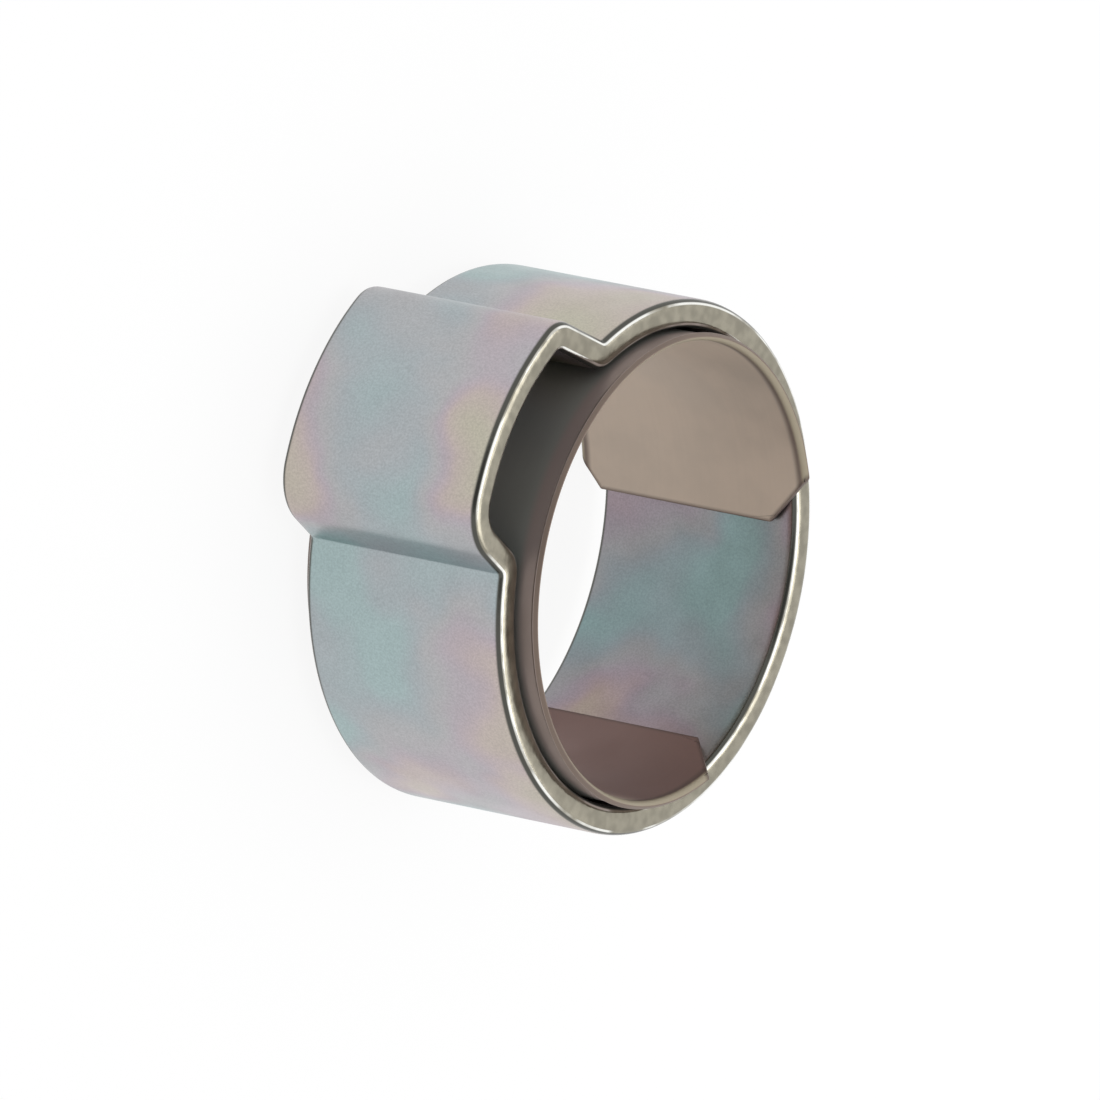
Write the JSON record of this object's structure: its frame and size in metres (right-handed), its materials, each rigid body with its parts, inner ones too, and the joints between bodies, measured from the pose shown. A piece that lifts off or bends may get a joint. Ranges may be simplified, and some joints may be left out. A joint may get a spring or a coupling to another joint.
{
  "type": "ear hose clamp",
  "caption": "Steel hose clamp: a smooth closed band with a bulged ear that is pinched to tighten it, and a thin lipped liner strip inside that bridges the ear's gap.",
  "frame": {"origin": "centre of the hose bore, on the mid-plane of the band", "axes": "+Z along the bore axis, +X from the bore towards the middle of the ear"},
  "size_m": [0.0207, 0.0182, 0.0094],
  "materials": {
    "zinc_plated_steel": "zinc plated with a pale iridescent passivation, satin, brighter on the rounded rims",
    "stainless_strip": "smooth rolled stainless strip, satin"
  },
  "bodies": {
    "root": {"clamp_ring": "zinc_plated_steel", "inner_liner": "stainless_strip"}
  },
  "joints": []
}
